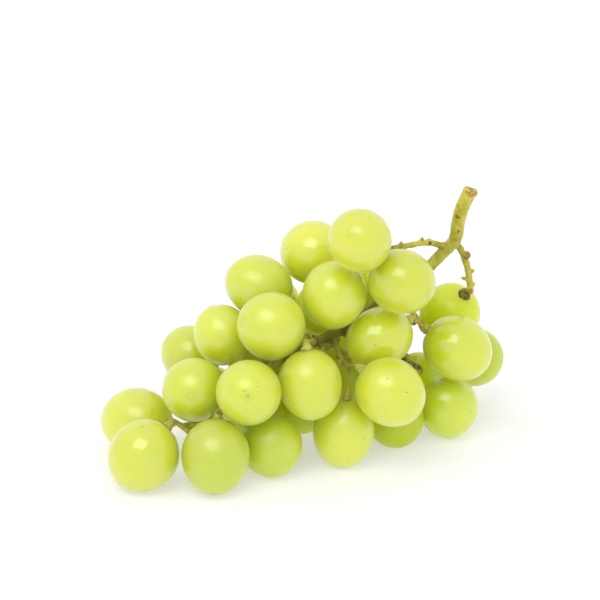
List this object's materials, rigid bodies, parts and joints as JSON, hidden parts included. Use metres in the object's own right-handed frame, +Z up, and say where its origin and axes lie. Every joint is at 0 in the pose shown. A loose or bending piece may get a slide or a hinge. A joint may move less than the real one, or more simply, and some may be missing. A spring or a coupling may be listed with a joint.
{
  "type": "bunch of grapes",
  "caption": "Bunch of green table grapes lying on its side, with plump round berries on a branching stalk and its cut stem end raised.",
  "frame": {"origin": "under the middle of the footprint, on the surface that the bunch lies on", "axes": "+X along the bunch from its tip to its stem end, +Y from the shown side to the back, +Z up"},
  "size_m": [0.1472, 0.1026, 0.0931],
  "materials": {
    "berry_skin": "thin translucent yellow-green fruit skin, satin to glossy, with a faint bloom",
    "stalk_bark": "green-ochre stalk with brown lenticels, knobbly joints and dry brown cut ends"
  },
  "bodies": {
    "root": {"tip_berry_1": "berry_skin", "tip_berry_2": "berry_skin", "tip_berry_3": "berry_skin", "front_berry_1": "berry_skin", "front_berry_2": "berry_skin", "front_berry_3": "berry_skin", "front_berry_4": "berry_skin", "front_berry_5": "berry_skin", "front_berry_6": "berry_skin", "front_berry_7": "berry_skin", "front_berry_8": "berry_skin", "front_berry_9": "berry_skin", "front_berry_10": "berry_skin", "upper_berry_1": "berry_skin", "upper_berry_2": "berry_skin", "upper_berry_3": "berry_skin", "upper_berry_4": "berry_skin", "upper_berry_5": "berry_skin", "upper_berry_6": "berry_skin", "upper_berry_7": "berry_skin", "upper_berry_8": "berry_skin", "shoulder_berry_1": "berry_skin", "shoulder_berry_2": "berry_skin", "shoulder_berry_3": "berry_skin", "inner_berry_1": "berry_skin", "inner_berry_2": "berry_skin", "inner_berry_3": "berry_skin", "inner_berry_4": "berry_skin", "inner_berry_5": "berry_skin", "inner_berry_6": "berry_skin", "back_berry_1": "berry_skin", "back_berry_2": "berry_skin", "back_berry_3": "berry_skin", "back_berry_4": "berry_skin", "back_berry_5": "berry_skin", "back_berry_6": "berry_skin", "stalk": "stalk_bark"}
  },
  "joints": []
}
